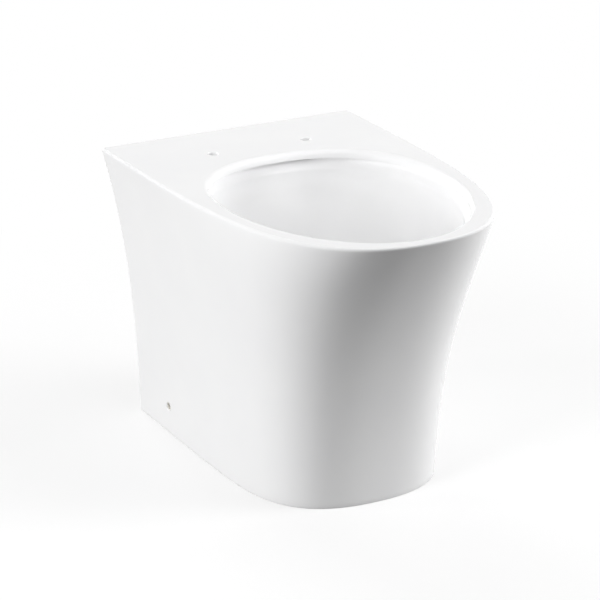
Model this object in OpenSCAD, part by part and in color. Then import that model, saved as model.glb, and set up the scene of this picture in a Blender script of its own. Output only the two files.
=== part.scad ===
// Back to wall toilet pan in glazed vitreous china, with the fixings that hold it down and
// the rubber seal in its flush inlet.
//
// Millimetres. X runs across the pan, Y from the nose (-Y) to the wall (+Y), and Z is up.
// The origin is on the floor, midway between the tip of the nose and the wall.
//
// The china is fired as one piece. It is drawn as the castings that the potter sticks
// together before the firing: rim, skirt, bowl, trapway and flush inlet. They meet face to
// face. The fixings are the loose pieces: on each side a floor bracket, its nut, a side screw
// and the sleeve that keeps the screw off the china.

/* [Overall] */
// Height of the rim above the floor
pan_h = 400; // [380:1:430]
// Width across the deck
pan_w = 388; // [375:1:405]
// Projection from the wall to the tip of the nose
pan_d = 552; // [530:1:580]
// Width of the foot
foot_w = 288; // [270:1:310]
// Projection from the wall to the toe of the foot
foot_d = 432; // [410:1:460]

/* [Outer shape] */
// Share of the sideways flare that is a straight lean; the rest curls out towards the rim
lean_w = 0.257; // [0.1:0.01:0.5]
// Power of the curl at the sides
curl_w = 2.64; // [2:0.05:3.5]
// Share of the forward flare that is a straight lean
lean_d = 0.2; // [0.1:0.01:0.5]
// Power of the curl at the nose
curl_d = 2.68; // [2:0.05:3.5]
// Bluntness of the nose at the rim: a higher power keeps the sides straight for longer
blunt_rim = 4.39; // [3:0.05:6]
// Bluntness of the toe at the floor
blunt_foot = 7.75; // [5:0.05:10]
// Roundness of the nose at the rim: 2 is an ellipse, and more is squarer
round_rim = 2.46; // [2:0.02:3]
// Roundness of the toe at the floor
round_foot = 2.3; // [2:0.02:3]
// Share of its width that the rim has lost to taper by the nose
taper_rim = 0.028; // [0:0.002:0.08]
// Radius of the edge round the deck
edge_r = 5; // [3:0.5:7]
// Thickness of the skirt wall
skirt_wall = 11; // [8:0.5:12]

/* [Rim and seat holes] */
// Depth of the rim casting, down to where the skirt and the bowl join it
rim_depth = 30; // [26:1:36]
// Thickness of the deck and of the lip round the opening
deck_t = 10; // [8:0.5:12]
// Radius of the inner edge of the lip
lip_r = 7; // [4:0.5:7.5]
// How far the wall is set back under the lip at the sides
undercut = 2; // [0.5:0.25:3]
// How far it is set back under the lip at the rear, which keeps the slot out of sight
rear_undercut = 10; // [8:0.5:12]
// How far the lip hangs below the underside of the deck
lip_drop = 2; // [1:0.5:3]
// Distance between the two seat holes
seat_hole_gap = 144; // [130:1:160]
// Distance from the wall to the seat holes
seat_hole_setback = 96; // [80:1:105]
// Diameter of a seat hole
seat_hole_d = 13; // [10:0.5:16]

/* [Bowl] */
// Width of the rim beside the opening
rim_side = 36; // [33:0.5:44]
// Distance from the wall to the rear edge of the opening
opening_rear = 142; // [138:1:155]
// Distance from the wall to the widest part of the opening
opening_mid = 310; // [295:1:325]
// Width of the rim at the nose
rim_flat = 20.5; // [18:0.5:26]
// Thickness of the china at the nose, where the bowl joins the rim
nose_wall = 23; // [18:0.5:26]
// Squareness of the rear half of the opening: 2 is an ellipse
opening_square = 2.3; // [2:0.05:2.6]
// Wall of the bowl
bowl_wall = 9; // [7:0.5:10]
// Height of the water, which the weir of the trap sets
water_h = 228; // [222:1:236]
// Radius of the throat that the bowl narrows to
throat_r = 36; // [33:0.5:38]
// Distance from the wall to the back of the throat
throat_setback = 272; // [268:1:282]
// Radius of the bend from the throat into the trapway, on its centre line
throat_bend = 47; // [46:0.5:50]

/* [Trap and outlet] */
// Inner radius of the trapway
trap_r = 29; // [27:0.5:31]
// Wall of the trapway
trap_wall = 8; // [6:0.5:8.5]
// Depth of the water seal
seal_depth = 50; // [45:1:56]
// Height of the outlet above the floor
outlet_h = 180; // [172:1:180]
// Straight drop between the bend over the weir and the bend back to level
drop_l = 1; // [0.5:0.5:2]
// Outer radius of the outlet spigot
spigot_r = 51; // [49:0.5:54]
// Wall of the outlet spigot
spigot_wall = 9; // [7:0.5:11]
// Length of the cone that opens the trapway out to the spigot
spigot_cone = 14; // [10:1:18]
// Distance from the wall to the end of the spigot
spigot_setback = 52; // [40:1:60]

/* [Flush inlet] */
// Distance from the top of the rim down to the middle of the flush inlet
inlet_drop = 58; // [54:1:64]
// Radius of the bore of the inlet horn
inlet_r = 27.5; // [25:0.5:29]
// Wall of the inlet horn
inlet_wall = 8.5; // [6:0.5:10]
// Length of the horn
inlet_len = 50; // [40:1:56]
// Distance from the wall to the mouth of the horn
inlet_setback = 27; // [20:1:34]
// Width of the slot under the lip that lets the water into the bowl
slot_w = 110; // [80:1:120]
// Height of that slot
slot_h = 4.5; // [4:0.5:6]
// Radius of the flush pipe that the seal takes
flush_pipe_r = 22; // [20:0.5:23]

/* [Fixings] */
// Height of the side holes above the floor
side_hole_h = 41; // [36:1:46]
// Distance from the wall to the side holes
side_hole_setback = 95; // [80:1:110]
// Diameter of a side hole
side_hole_d = 12; // [11:0.5:14]
// Diameter of the side screw
screw_d = 5; // [4:0.5:6]
// Thickness of the bracket steel
bracket_t = 3; // [2:0.5:4]
// Length of the bracket along the wall of the pan
bracket_l = 50; // [44:1:60]
// Height of the bracket
bracket_h = 58; // [54:1:66]
// Reach of the bracket's foot across the floor
bracket_reach = 46; // [40:1:56]
// Diameter of the holes for the floor screws
floor_hole_d = 8; // [6:0.5:9]
// Distance between the two floor holes of a bracket
floor_hole_gap = 26; // [20:1:30]

/* [Hidden] */

china = "white";
rubber = "#2b2b2c";
zinc = "#b9bcc0";
steel = "#c9cbcd";
nylon = "#eceae4";

// How far a cut runs past the face it opens
past = 4;
// Planes that the pieces share
wall_y = pan_d / 2;
rim_z = pan_h - rim_depth;
deck_under_z = pan_h - deck_t;
mid_y = wall_y - opening_mid;
opening_w = pan_w - 2 * rim_side;
inlet_h = pan_h - inlet_drop;

// Plan of the outer skin

// Points down one side, the rings of the skirt, and the steps of a rounded edge
side_steps = 26;
skirt_rings = 12;
edge_steps = 5;
// How late the plan turns from the toe's shape into the rim's
plan_turn = 8;

// How far the skin would stand out past its rounded edge if it ran on to the top, for a skin
// that gains some reach over the height of the pan
function edge_loss(gain, lean, curl) =
    let (slope = gain / pan_h * (lean + (1 - lean) * curl))
    edge_r * (1 + slope - sqrt(1 + slope * slope));
sharp_w = pan_w + 2 * edge_loss((pan_w - foot_w) / 2, lean_w, curl_w);
sharp_d = pan_d + edge_loss(pan_d - foot_d, lean_d, curl_d);

function flare(u, lean, curl) = lean * u + (1 - lean) * pow(u, curl);
function half_w(u) = (foot_w + (sharp_w - foot_w) * flare(u, lean_w, curl_w)) / 2;
function depth(u) = foot_d + (sharp_d - foot_d) * flare(u, lean_d, curl_d);
function turn(u, foot, top) = 1 / (1 / foot + (1 / top - 1 / foot) * pow(u, plan_turn));

// Right half of the plan at a share u of the height, from past the wall round to the nose.
// It is inset by a wall or a rounding, apart from where it meets the wall.
function half_plan(u, inset) =
    let (
        w = half_w(u) - inset,
        d = depth(u) - inset,
        m = turn(u, blunt_foot, blunt_rim),
        n = turn(u, round_foot, round_rim),
        k = taper_rim * pow(u, plan_turn)
    )
    concat(
        [[w, wall_y + past]],
        [for (i = [0:side_steps])
            let (s = 1 - pow(1 - i / side_steps, n))
            [w * (1 - k * s * s) * pow(1 - pow(s, m), 1 / n), wall_y - d * s]]
    );

// Whole plan, anticlockwise from above: the left half is the right half mirrored
function plan(u, inset = 0) =
    let (right = half_plan(u, inset), last = len(right) - 1)
    concat(
        [for (i = [0:last]) [-right[i].x, right[i].y]],
        [for (i = [1:last]) right[last - i]]
    );

function at_z(points, z) = [for (p = points) [p.x, p.y, z]];
function skirt_ring(z, inset = 0) = at_z(plan(max(0, min(z / pan_h, 1)), inset), z);

// Solid skinned over rings with equal numbers of points, the lowest first
module skin(rings) {
    n = len(rings[0]);
    top = len(rings) - 1;
    polyhedron(
        points = [for (ring = rings) each ring],
        faces = concat(
            [[for (i = [0:n - 1]) i]],
            [[for (i = [0:n - 1]) top * n + n - 1 - i]],
            [for (r = [0:top - 1], i = [0:n - 1])
                let (a = r * n + i, b = r * n + (i + 1) % n) [a, a + n, b]],
            [for (r = [0:top - 1], i = [0:n - 1])
                let (a = r * n + i, b = r * n + (i + 1) % n) [b, a + n, b + n]]
        )
    );
}

// Everything in front of the wall between two heights
module slab(z0, z1) {
    translate([-pan_w, wall_y - 2 * pan_d, z0]) cube([2 * pan_w, 2 * pan_d, z1 - z0]);
}

// Rings of the skin up to the rim casting, closer together towards the rim, where it curls
skirt_zs = [for (i = [0:skirt_rings]) rim_z * (1 - pow(1 - i / skirt_rings, 1.3))];

// Wall skinned between two stacks of rings, both open at the wall end, lowest first
module wall_skin(outer, inner) {
    n = len(outer[0]);
    loop = 2 * n;
    top = len(outer) - 1;
    polyhedron(
        points = [for (r = [0:top]) each concat(outer[r], [for (i = [1:n]) inner[r][n - i]])],
        faces = concat(
            [for (i = [0:n - 2]) let (j = loop - 1 - i) [i, i + 1, j - 1]],
            [for (i = [0:n - 2]) let (j = loop - 1 - i) [i, j - 1, j]],
            [for (i = [0:n - 2]) let (a = top * loop + i, j = top * loop + loop - 1 - i) [a, j - 1, a + 1]],
            [for (i = [0:n - 2]) let (a = top * loop + i, j = top * loop + loop - 1 - i) [a, j, j - 1]],
            [for (r = [0:top - 1], i = [0:loop - 1])
                let (a = r * loop + i, b = r * loop + (i + 1) % loop) [a, a + loop, b]],
            [for (r = [0:top - 1], i = [0:loop - 1])
                let (a = r * loop + i, b = r * loop + (i + 1) % loop) [b, a + loop, b + loop]]
        )
    );
}

// Bowl

// Points round the opening, rings down to the throat and rings round its bend
bowl_steps = 56;
bowl_rings = 13;
bend_rings = 8;

throat_y = wall_y - throat_setback - throat_r;
trap_z = water_h - seal_depth - trap_r;
throat_z = trap_z + throat_bend;
// Top of the trapway, which the rear of the bowl passes over
trap_top = water_h + 2 * trap_r + trap_wall;
// The bowl at the joint with the rim: reach to the nose, half width and reach to the wall.
// It draws in a little from the opening at the sides, and keeps half of the undercut at the rear.
joint_u = rim_z / pan_h;
joint_in = 2;
joint_front = wall_y - depth(joint_u) + nose_wall;
joint_side = opening_w / 2 - joint_in;
joint_rear = wall_y - opening_rear + rear_undercut / 2;

// Profiles from the joint down to the throat, as cubic curves: down the middle of the nose
// [y, z], down the side [x, z] and down the middle of the rear [y, z]. Each is drawn by its
// ends and by its two handles, one from the joint and one from the throat. The rear one runs
// out over the top of the trapway and then drops into the throat, so its handles are set by
// how far they end above that top.
front_pull = [28, -52];
front_rise = [-10, 30];
side_pull = [0, -66];
side_rise = [12, 40];
rear_low = 18;
rear_high = 38;
rear_pull = [2, trap_top + rear_low - rim_z];
rear_rise = [4, trap_top + rear_high - throat_z];
function curve(top, pull, end, rise) = [top, top + pull, end + rise, end];
front_curve = curve([joint_front, rim_z], front_pull, [throat_y - throat_r, throat_z], front_rise);
side_curve = curve([joint_side, rim_z], side_pull, [throat_r, throat_z], side_rise);
rear_curve = curve([joint_rear, rim_z], rear_pull, [throat_y + throat_r, throat_z], rear_rise);

function bezier(c, t) = let (s = 1 - t)
    s * s * s * c[0] + 3 * s * s * t * c[1] + 3 * s * t * t * c[2] + t * t * t * c[3];
function bezier_slope(c, t) = let (s = 1 - t)
    s * s * (c[1] - c[0]) + 2 * s * t * (c[2] - c[1]) + t * t * (c[3] - c[2]);
// Point of a profile moved square to it by a wall. The turn is 1 for the side and the rear and
// -1 for the front, so that the wall is added outside the bowl.
function off(c, t, wall, turned) =
    let (v = bezier_slope(c, t)) bezier(c, t) + wall * turned * [-v[1], v[0]] / norm(v);

// Ring round the bowl, anticlockwise from the nose, through a front point [y, z], a side
// point [x, z] at mid_y and a rear point [y, z]. The rear half has its own squareness.
function bowl_ring(front, side, rear, y, square) =
    [for (i = [0:bowl_steps - 1])
        let (
            a = 360 * i / bowl_steps,
            c = cos(a),
            s = sin(a),
            power = 2 / (c > 0 ? 2 : square),
            end = c > 0 ? front : rear
        )
        [
            sign(s) * side[0] * pow(abs(s), power),
            y + (end[0] - y) * pow(abs(c), power),
            side[1] + (end[1] - side[1]) * c * c
        ]];

// Flat ring at one height: the opening or the joint, moved out by a wall or a rounding
function opening_ring(front, side, rear, z, out = 0) =
    bowl_ring([front - out, z], [side + out, z], [rear + out, z], mid_y, opening_square);
function joint_ring(z, out = 0) = opening_ring(joint_front, joint_side, joint_rear, z, out);

// Ring down the bowl at t, from 0 at the joint to 1 at the throat, with a wall added outside
function bowl_at(t, wall) = t == 0 ? joint_ring(rim_z, wall) : bowl_ring(
    off(front_curve, t, wall, -1),
    off(side_curve, t, wall, 1),
    off(rear_curve, t, wall, 1),
    mid_y + (throat_y - mid_y) * t,
    opening_square + (2 - opening_square) * t
);
// Ring a degrees round the bend from the throat, level, into the trapway, upright. It narrows
// to the bore of the trapway, and run carries the last one on along it.
bend_y = throat_y + throat_bend;
function bend_at(a, wall, end_wall, run = 0) =
    let (
        share = a / 90,
        r = throat_r + wall + (trap_r + end_wall - throat_r - wall) * share
    )
    [for (i = [0:bowl_steps - 1])
        let (b = 360 * i / bowl_steps, reach = throat_bend + r * cos(b))
        [r * sin(b), bend_y - reach * cos(a) + run, throat_z - reach * sin(a)]];

module bowl_skin(wall, end_wall, rings, run) {
    skin(concat(
        [bend_at(90, wall, end_wall, run)],
        [for (i = [0:bend_rings - 1]) bend_at(90 * (1 - i / bend_rings), wall, end_wall)],
        [for (i = [0:rings]) bowl_at(1 - i / rings, wall)],
        [joint_ring(rim_z + past, wall)]
    ));
}

// Castings

// Turns a shape drawn along Z to run along Y from y0
module along_y(y0, z = 0) { translate([0, y0, z]) rotate([-90, 0, 0]) children(); }

// Opening of the rim: rounded over the lip, straight down it, set back under it at the rear and
// sides, and down to the joint with the bowl. The underside of the lip rises a little behind its
// edge, so that water drips off, and the slot lies in the wall behind it.
opening_front = wall_y - pan_d + rim_flat;
opening_back = wall_y - opening_rear;
lip_under_z = deck_under_z - lip_drop;
// Half the rise of the lip's underside from its front edge to its back
drip = 1;
// Strip of wall left between the lip and the top of the slot
slot_gap = 0.2;
slot_z = lip_under_z - slot_gap - slot_h;
function under_ring(z, front_z) = bowl_ring(
    [opening_front, front_z], [opening_w / 2 + undercut, z], [opening_back + rear_undercut, z],
    mid_y, opening_square
);
module opening_cut() {
    flat = [for (z = [lip_under_z, pan_h - lip_r])
        opening_ring(opening_front, opening_w / 2, opening_back, z)];
    round_over = [for (i = [1:edge_steps])
        let (a = 90 * i / edge_steps)
        opening_ring(opening_front, opening_w / 2, opening_back,
            pan_h - lip_r + lip_r * sin(a), lip_r * (1 - cos(a)))];
    skin(concat(
        [joint_ring(rim_z - past), joint_ring(rim_z)],
        [
            under_ring(slot_z - drip / 2, slot_z - drip / 2),
            under_ring(lip_under_z + drip, lip_under_z - drip)
        ],
        flat,
        round_over,
        [opening_ring(opening_front, opening_w / 2, opening_back, pan_h + past, lip_r)]
    ));
}

// Outside of the rim: the skin above the joint with its top edge rounded
module rim_skin() {
    flat_zs = [for (i = [0:4]) rim_z + (rim_depth - edge_r) * i / 4];
    skin(concat(
        [skirt_ring(rim_z - past)],
        [for (z = flat_zs) skirt_ring(z)],
        [for (i = [1:edge_steps])
            let (a = 90 * i / edge_steps, z = pan_h - edge_r + edge_r * sin(a))
            skirt_ring(z, edge_r * (1 - cos(a)))],
        [at_z(plan(1, edge_r), pan_h + past)]
    ));
}

// Ring of china round the opening at the rear, which the pocket leaves
lip_wall = bowl_wall + 3;
module lip_ring_shape() { polygon([for (p = joint_ring(0, lip_wall)) [p.x, p.y]]); }

// Hollow under the deck behind the bowl, open to the wall and this far in front of its rear
pocket_reach = 88;
pocket_front = joint_rear - pocket_reach;
module rear_pocket() {
    translate([0, 0, rim_z - past]) linear_extrude(deck_under_z - rim_z + past) intersection() {
        difference() {
            polygon(plan(joint_u, skirt_wall));
            lip_ring_shape();
        }
        translate([-pan_w, pocket_front]) square([2 * pan_w, pan_d]);
    }
}

// Rim casting: deck, seat holes, lip of the opening and the slot that the flush comes through
module rim() {
    color(china) difference() {
        intersection() {
            rim_skin();
            slab(rim_z, pan_h);
        }
        opening_cut();
        rear_pocket();
        for (side = [-1, 1])
            translate([side * seat_hole_gap / 2, wall_y - seat_hole_setback, deck_under_z - past])
                cylinder(d = seat_hole_d, h = deck_t + 2 * past, $fn = 48);
        translate([-slot_w / 2, mid_y + (opening_back - mid_y) / 2, slot_z])
            cube([slot_w, (opening_back - mid_y) / 2 + 2 * lip_wall, slot_h]);
    }
}

// Skirt casting: the outer wall from the floor to the rim, open below and towards the wall
module skirt() {
    zs = concat([-past], skirt_zs, [rim_z + past]);
    color(china) difference() {
        intersection() {
            wall_skin([for (z = zs) skirt_ring(z)], [for (z = zs) skirt_ring(z, skirt_wall)]);
            slab(0, rim_z);
        }
        translate([-pan_w / 2, wall_y - side_hole_setback, side_hole_h]) rotate([0, 90, 0])
            cylinder(d = side_hole_d, h = pan_w, $fn = 48);
    }
}

// Trapway. Its centre line lies in the middle plane: a bend up from the throat, a short rise, a
// bend over the weir, a short drop, a bend back to level, and the spigot.
trap_outer = trap_r + trap_wall;
// Gap between the bowl and the rise of the trapway
trap_gap = 6;
crest_z = water_h + trap_r;
// Radius of every bend on its centre line
bend_r = (crest_z - outlet_h - drop_l) / 2;
trap_y = throat_y + throat_r + bowl_wall + trap_gap;
rise_y = trap_y + bend_r;
crest_y = rise_y + bend_r;
level_y = crest_y + 2 * bend_r;
spigot_end = wall_y - spigot_setback;

// Solid bend of radius r about [y, z] in the middle plane, from a0 to a1 degrees above +Y
module solid_bend(y, z, a0, a1, r) {
    translate([0, y, z]) rotate([90, 0, 90]) rotate([0, 0, a0])
        rotate_extrude(angle = a1 - a0, $fn = 72) translate([bend_r, 0]) circle(r, $fn = 48);
}
module bend(y, z, a0, a1) {
    difference() {
        solid_bend(y, z, a0, a1, trap_outer);
        solid_bend(y, z, a0, a1, trap_r);
    }
}
// Upright length of the trapway at y, from z up
module upright(y, z, l) {
    translate([0, y, z]) difference() {
        cylinder(r = trap_outer, h = l, $fn = 48);
        translate([0, 0, -1]) cylinder(r = trap_r, h = l + 2, $fn = 48);
    }
}

module trapway() {
    rise_z = trap_z + bend_r;
    over_z = crest_z - bend_r;
    color(china) {
        bend(trap_y, rise_z, -90, 0);
        upright(rise_y, rise_z, over_z - rise_z);
        bend(crest_y, over_z, 0, 180);
        upright(crest_y + bend_r, over_z - drop_l, drop_l);
        bend(level_y, outlet_h + bend_r, 180, 270);
        along_y(level_y, outlet_h) rotate_extrude($fn = 72) polygon([
            [trap_r, 0], [trap_outer, 0], [spigot_r, spigot_cone],
            [spigot_r, spigot_end - level_y], [spigot_r - spigot_wall, spigot_end - level_y],
            [spigot_r - spigot_wall, spigot_cone]
        ]);
    }
}

// Bowl casting: the bowl and its throat, which bends back to where the trapway is stuck to it
module bowl() {
    stub = trap_y - bend_y;
    color(china) difference() {
        intersection() {
            bowl_skin(bowl_wall, trap_wall, 10, stub);
            slab(0, rim_z);
        }
        bowl_skin(0, 0, bowl_rings, stub + past);
    }
}

// Flush inlet casting: a horn for the flush pipe that spreads into a trough behind the slot.
// The deck is its lid over the trough.
horn_mouth = wall_y - inlet_setback;
horn_root = horn_mouth - inlet_len;
trough_wall = 6;
trough_l = 20;
trough_drop = 4;
trough_floor = rim_z - trough_drop;
trough_back = joint_rear + lip_wall + trough_l;

// Wedge from the horn to the trough, where its plan and its side view cross. It is half_horn
// out from the middle of the horn up to end, and half_slot out from that of the slot. The
// trough starts at back and stands on bed.
module spreader(half_horn, half_slot, back, bed, end) {
    neck = end - trough_wall;
    intersection() {
        linear_extrude(deck_under_z) polygon([
            [-half_slot, joint_rear], [half_slot, joint_rear], [half_slot, back],
            [half_horn, neck], [half_horn, end], [-half_horn, end], [-half_horn, neck],
            [-half_slot, back]
        ]);
        rotate([90, 0, 90]) translate([0, 0, -pan_w / 2]) linear_extrude(pan_w) polygon([
            [joint_rear, bed], [back, bed], [neck, inlet_h - half_horn], [end, inlet_h - half_horn],
            [end, inlet_h + half_horn], [neck, inlet_h + half_horn], [back, deck_under_z],
            [joint_rear, deck_under_z]
        ]);
    }
}
module flush_inlet() {
    horn_outer = inlet_r + inlet_wall;
    half_plate = trough_wall / 2;
    color(china) difference() {
        union() {
            along_y(horn_root - half_plate, inlet_h)
                cylinder(r = horn_outer, h = inlet_len + half_plate, $fn = 72);
            spreader(horn_outer, slot_w / 2 + trough_wall, trough_back, trough_floor, horn_root);
        }
        along_y(horn_root - trough_wall - 1, inlet_h)
            cylinder(r = inlet_r, h = inlet_len + trough_wall + past, $fn = 72);
        spreader(inlet_r, slot_w / 2, trough_back - trough_wall, trough_floor + trough_wall,
            horn_root - trough_wall);
        translate([0, 0, inlet_h - inlet_r]) linear_extrude(pan_h) lip_ring_shape();
    }
}

// Rubber seal in the horn: a sleeve with three fins outside and a collar over the mouth
module inlet_seal() {
    body_r = (inlet_r + flush_pipe_r) / 2 + 0.2;
    fin_r = inlet_r - 0.2;
    fin_t = 2;
    fin_pitch = 9;
    collar_t = 4;
    seal_l = 30;
    color(rubber) along_y(horn_mouth - seal_l, inlet_h) rotate_extrude($fn = 96) {
        translate([flush_pipe_r, 0]) square([body_r - flush_pipe_r, seal_l + collar_t]);
        translate([flush_pipe_r, seal_l]) square([inlet_r + inlet_wall - 1.5 - flush_pipe_r, collar_t]);
        for (i = [0:2])
            translate([flush_pipe_r, 2 * fin_t + i * fin_pitch]) polygon([
                [0, 0], [body_r - flush_pipe_r, 0], [fin_r - flush_pipe_r, fin_t],
                [fin_r - flush_pipe_r, 2 * fin_t], [0, 2 * fin_t]
            ]);
    }
}

// Fixings. Each is drawn for the right side, +X, and mirrored for the left.

side_hole_y = wall_y - side_hole_setback;
china_x = half_w(side_hole_h / pan_h);
bracket_x = foot_w / 2 - skirt_wall - 0.5;
sleeve_recess = 1.5;
sleeve_x = china_x - sleeve_recess;
head_h = 3;
head_r = 0.85 * screw_d;
seat_x = sleeve_x - 2 * head_h;
nut_r = screw_d / 2 + 2.5;
nut_flange = 3;
nut_l = 14;

module on_side(side) { if (side > 0) children(); else mirror([1, 0, 0]) children(); }
// Turns a shape drawn along Z to run inwards, towards -X, from x
module inwards(x) { translate([x, side_hole_y, side_hole_h]) rotate([0, -90, 0]) children(); }

// Pressed steel angle, screwed to the floor inside the foot
module floor_bracket(side) {
    bend_out = bracket_t + 3;
    chamfer = 8;
    half_l = bracket_l / 2;
    color(zinc) on_side(side) translate([bracket_x, side_hole_y, 0]) difference() {
        intersection() {
            rotate([90, 0, 0]) translate([0, 0, -half_l]) linear_extrude(bracket_l) {
                translate([-bracket_t, bend_out]) square([bracket_t, bracket_h - bend_out]);
                translate([-bracket_reach, 0]) square([bracket_reach - bend_out, bracket_t]);
                translate([-bend_out, bend_out]) intersection() {
                    difference() {
                        circle(bend_out, $fn = 48);
                        circle(bend_out - bracket_t, $fn = 48);
                    }
                    translate([0, -bend_out]) square(bend_out);
                }
            }
            rotate([90, 0, -90]) translate([0, 0, -1]) linear_extrude(bracket_reach + 2) polygon([
                [-half_l, -1], [half_l, -1], [half_l, bracket_h - chamfer],
                [half_l - chamfer, bracket_h], [chamfer - half_l, bracket_h],
                [-half_l, bracket_h - chamfer]
            ]);
            translate([0, 0, -1]) linear_extrude(bracket_h + 2) polygon([
                [1, -half_l], [1, half_l], [chamfer - bracket_reach, half_l],
                [-bracket_reach, half_l - chamfer], [-bracket_reach, chamfer - half_l],
                [chamfer - bracket_reach, -half_l]
            ]);
        }
        translate([-bracket_t - 1, 0, side_hole_h]) rotate([0, 90, 0])
            cylinder(r = nut_r + 0.1, h = bracket_t + 2, $fn = 48);
        for (y = [-1, 1])
            translate([(bracket_t - bracket_reach) / 2, y * floor_hole_gap / 2, -1])
                cylinder(d = floor_hole_d, h = bracket_t + 2, $fn = 48);
    }
}

// Nylon nut, pushed through the bracket from inside, with a square flange that stops it turning
module bracket_nut(side) {
    flange = 2 * nut_r + 6;
    color(nylon) on_side(side) inwards(bracket_x - 0.2) difference() {
        union() {
            cylinder(r = nut_r, h = nut_l, $fn = 48);
            translate([-flange / 2, -flange / 2, bracket_t - 0.2]) cube([flange, flange, nut_flange]);
        }
        translate([0, 0, -1]) cylinder(d = screw_d + 0.1, h = nut_l + 2, $fn = 48);
    }
}

// Stainless screw with a cylinder head and a cross recess
module side_screw(side) {
    shank = seat_x - bracket_x + nut_l + 2;
    color(steel) on_side(side) inwards(seat_x + head_h) difference() {
        union() {
            cylinder(r = head_r, h = head_h, $fn = 48);
            cylinder(d = screw_d, h = head_h + shank - 1, $fn = 48);
            translate([0, 0, head_h + shank - 1]) cylinder(d1 = screw_d, d2 = screw_d - 2, h = 1, $fn = 48);
        }
        for (a = [0, 90]) rotate([0, 0, a]) translate([-0.65 * head_r, -0.6, -1])
            cube([1.3 * head_r, 1.2, 1 + 0.5 * head_h]);
    }
}

// Nylon sleeve through the china, with a seat for the head of the screw
module screw_sleeve(side) {
    color(nylon) on_side(side) inwards(sleeve_x) difference() {
        cylinder(d = side_hole_d - 0.3, h = sleeve_x - bracket_x, $fn = 48);
        translate([0, 0, -1]) cylinder(d = screw_d + 0.4, h = sleeve_x - bracket_x + 2, $fn = 48);
        translate([0, 0, -1]) cylinder(r = head_r + 0.3, h = sleeve_x - seat_x + 1, $fn = 48);
    }
}

rim();
skirt();
bowl();
trapway();
flush_inlet();
inlet_seal();
floor_bracket(-1);  // floor_bracket_left
floor_bracket(1);  // floor_bracket_right
bracket_nut(-1);  // bracket_nut_left
bracket_nut(1);  // bracket_nut_right
side_screw(-1);  // side_screw_left
side_screw(1);  // side_screw_right
screw_sleeve(-1);  // screw_sleeve_left
screw_sleeve(1);  // screw_sleeve_right
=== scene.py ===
"""Back to wall toilet pan in white vitreous china, with its seal and hidden fixings."""

import bpy
import numpy as np
from mathutils import Matrix, Vector
from mathutils.geometry import delaunay_2d_cdt


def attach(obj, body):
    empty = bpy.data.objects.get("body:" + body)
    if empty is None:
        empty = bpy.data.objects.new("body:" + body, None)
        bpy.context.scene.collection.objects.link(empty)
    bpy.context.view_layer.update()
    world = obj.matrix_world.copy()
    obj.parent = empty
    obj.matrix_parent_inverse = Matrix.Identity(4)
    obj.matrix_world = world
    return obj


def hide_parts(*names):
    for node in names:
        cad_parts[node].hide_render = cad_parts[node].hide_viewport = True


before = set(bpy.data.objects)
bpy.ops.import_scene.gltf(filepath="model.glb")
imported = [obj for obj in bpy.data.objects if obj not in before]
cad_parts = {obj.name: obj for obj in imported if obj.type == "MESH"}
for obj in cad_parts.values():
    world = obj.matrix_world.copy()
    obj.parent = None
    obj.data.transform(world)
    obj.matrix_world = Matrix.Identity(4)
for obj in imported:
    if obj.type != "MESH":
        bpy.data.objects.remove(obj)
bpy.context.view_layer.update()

# ---------------------------------------------------------------------------------------
# Skirt: the outer wall of the pan, cast from slip in a plaster mould, that flares from the
# foot to the rim. It is 11 mm thick, open below and to the wall, with a 12 mm hole for a side
# screw low on each side. All sizes are in millimetres unless they say otherwise.

# The glaze is an opaque zircon one, sprayed on the dry clay and fired with it at 1,200 C. It
# settles into a glossy film with slow waves and a fine orange peel. The underside of the foot
# is wiped before firing and stays bare.
GLAZE_WHITE, GLAZE_SHADE, BARE_BODY = "#F4F4F4", "#EFEFF0", "#D9D2C4"
GLAZE_ROUGHNESS, BARE_ROUGHNESS, GLAZE_IOR = 0.09, 0.8, 1.52
GLAZE_WAVE = 0.045  # metres from crest to crest of the slow waves in the glaze
GLAZE_PEEL = 0.004  # metres across a dimple of its fine orange peel
WIPED_FROM, WIPED_BELOW = 0.0006, 0.0002  # metres above the floor where the glaze thins and ends


def linear(hex_colour, alpha=1.0):
    """An sRGB hex value as the linear colour that Blender's sockets take."""
    c = np.array([int(hex_colour[i:i + 2], 16) for i in (1, 3, 5)]) / 255
    c = np.where(c <= 0.04045, c / 12.92, ((c + 0.055) / 1.055) ** 2.4)
    return (*c, alpha)


def add(tree, kind, settings=None, **inputs):
    """Adds one node with its settings and inputs.

    An input is named with _ for a space, or i and its number, and holds a value or a socket.
    """
    node = tree.nodes.new(kind)
    for key, value in (settings or {}).items():
        setattr(node, key, value)
    for key, value in inputs.items():
        name = key.replace("_", " ")
        socket = node.inputs[int(name[1:]) if name[1:].isdigit() else name]
        if isinstance(value, bpy.types.NodeSocket):
            tree.links.new(value, socket)
        else:
            socket.default_value = value
    return node


def start_material(name):
    """A new node material with only its output, and the tree and output to build on."""
    material = bpy.data.materials.new(name)
    material.use_nodes = True
    tree = material.node_tree
    tree.nodes.clear()
    return material, tree, add(tree, "ShaderNodeOutputMaterial")


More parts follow.
